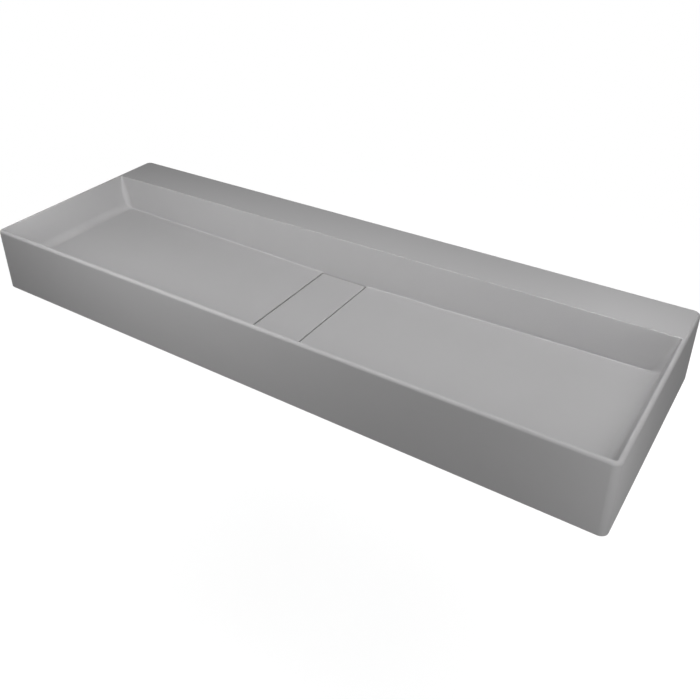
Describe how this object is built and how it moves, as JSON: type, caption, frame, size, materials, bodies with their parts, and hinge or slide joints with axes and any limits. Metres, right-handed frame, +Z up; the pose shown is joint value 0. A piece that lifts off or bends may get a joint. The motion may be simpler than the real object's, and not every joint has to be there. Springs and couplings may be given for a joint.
{
  "type": "washbasin",
  "caption": "Long rectangular wall-hung washbasin cast in grey mineral, with a rear deck, a shallow bowl falling to a lift-off drain cover, and an always-open waste below.",
  "frame": {"origin": "midway between the two wall fixing holes, on the back face", "axes": "+X along the wall to the right of someone facing the basin, +Y into the wall, +Z up"},
  "size_m": [1.2, 0.415, 0.1691],
  "materials": {
    "cast_mineral": "matte",
    "bumper_silicone": "matte",
    "seal_rubber": "matte",
    "stainless": "satin",
    "tail_plastic": "satin",
    "insert_brass": "satin",
    "bush_plastic": "satin"
  },
  "bodies": {
    "basin": {"basin_body": "cast_mineral", "fixing_bushes": "bush_plastic", "waste_strainer": "stainless", "strainer_screw": "stainless", "strainer_seal": "seal_rubber", "body_seal": "seal_rubber", "waste_body": "tail_plastic", "screw_insert": "insert_brass"},
    "cover": {"drain_cover": "cast_mineral", "cover_bumpers": "bumper_silicone"}
  },
  "joints": [
    {"name": "cover_lift", "type": "slide", "parent": "basin", "child": "cover", "axis": [0, 0, 1], "range_m": [0, 0.11]}
  ]
}
